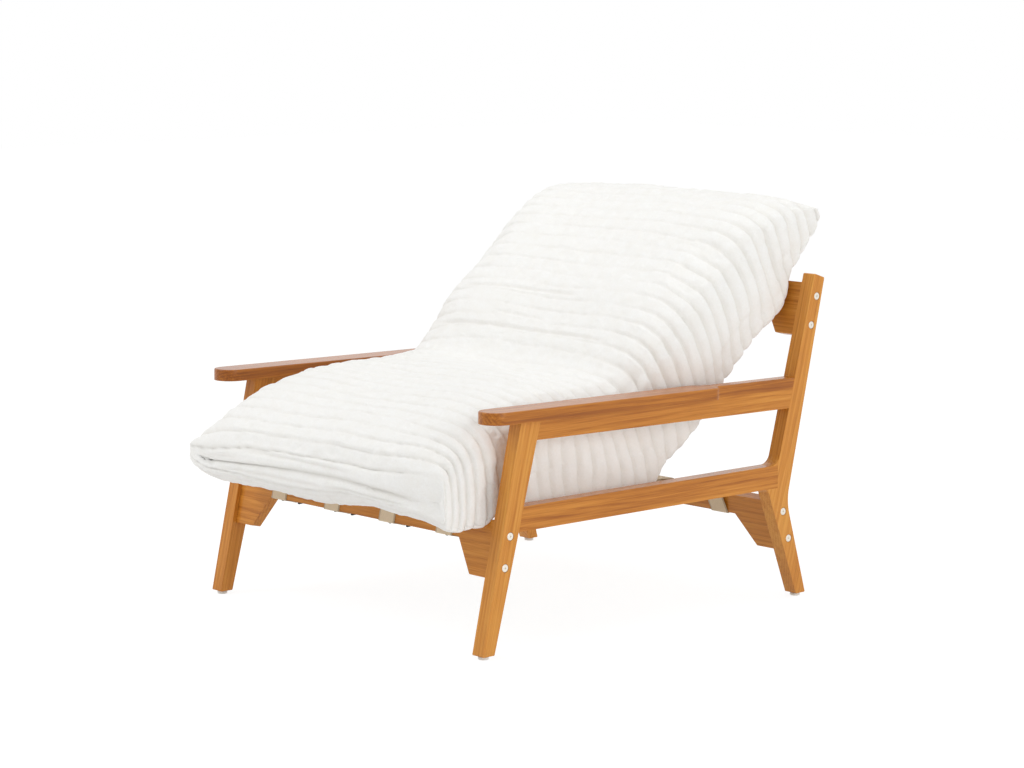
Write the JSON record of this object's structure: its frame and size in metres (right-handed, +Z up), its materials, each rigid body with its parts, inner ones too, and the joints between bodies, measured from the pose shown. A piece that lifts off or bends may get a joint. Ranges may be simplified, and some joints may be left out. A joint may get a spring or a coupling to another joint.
{
  "type": "lounge chair",
  "caption": "Low wooden lounge chair: slanted side frames with armrests, arched cross rails, webbing belts under the seat and one long ribbed cushion for seat and back.",
  "frame": {"origin": "on the floor, in the middle of the whole chair's footprint", "axes": "+Z up, the sitter faces -Y, X across the chair"},
  "size_m": [0.88, 1.0914, 0.8186],
  "materials": {
    "wood": "satin oiled teak-toned hardwood",
    "dowel_wood": "plain beech",
    "bolt_steel": "pale zinc",
    "nut_steel": "zinc",
    "glide_plastic": "matte",
    "webbing": "woven webbing",
    "slider_black": "gloss",
    "plush": "short ribbed pile",
    "filling": "loose fibre"
  },
  "bodies": {
    "frame": {"front_leg_left": "wood", "rear_post_left": "wood", "lower_rail_left": "wood", "upper_rail_left": "wood", "armrest_left": "wood", "rail_dowels_left": "dowel_wood", "armrest_screws_left": "nut_steel", "front_glide_left": "glide_plastic", "rear_glide_left": "glide_plastic", "glide_pins_left": "nut_steel", "front_leg_right": "wood", "rear_post_right": "wood", "lower_rail_right": "wood", "upper_rail_right": "wood", "armrest_right": "wood", "rail_dowels_right": "dowel_wood", "armrest_screws_right": "nut_steel", "front_glide_right": "glide_plastic", "rear_glide_right": "glide_plastic", "glide_pins_right": "nut_steel", "front_cross_rail": "wood", "front_bolts": "bolt_steel", "front_barrel_nuts": "nut_steel", "front_rail_dowels": "dowel_wood", "rear_cross_rail": "wood", "rear_bolts": "bolt_steel", "rear_barrel_nuts": "nut_steel", "rear_rail_dowels": "dowel_wood", "top_cross_rail": "wood", "top_bolts": "bolt_steel", "top_barrel_nuts": "nut_steel", "top_rail_dowels": "dowel_wood", "seat_belt_1": "webbing", "seat_belt_2": "webbing", "seat_belt_3": "webbing", "seat_belt_4": "webbing"},
    "belt_slider_1": {"belt_slider_1": "slider_black"},
    "belt_slider_2": {"belt_slider_2": "slider_black"},
    "belt_slider_3": {"belt_slider_3": "slider_black"},
    "belt_slider_4": {"belt_slider_4": "slider_black"},
    "cushion": {"cushion_cover": "plush", "cushion_fill": "filling"}
  },
  "joints": [
    {"name": "belt_slider_1_adjust", "type": "slide", "parent": "frame", "child": "belt_slider_1", "axis": [0, 0.9977, 0.068], "range_m": [0, 0.12]},
    {"name": "belt_slider_2_adjust", "type": "slide", "parent": "frame", "child": "belt_slider_2", "axis": [0, 0.9977, 0.068], "range_m": [0, 0.12]},
    {"name": "belt_slider_3_adjust", "type": "slide", "parent": "frame", "child": "belt_slider_3", "axis": [0, 0.9977, 0.068], "range_m": [0, 0.12]},
    {"name": "belt_slider_4_adjust", "type": "slide", "parent": "frame", "child": "belt_slider_4", "axis": [0, 0.9977, 0.068], "range_m": [0, 0.12]},
    {"name": "cushion_lift", "type": "slide", "parent": "frame", "child": "cushion", "axis": [0, 0, 1], "range_m": [0, 0.4]}
  ]
}
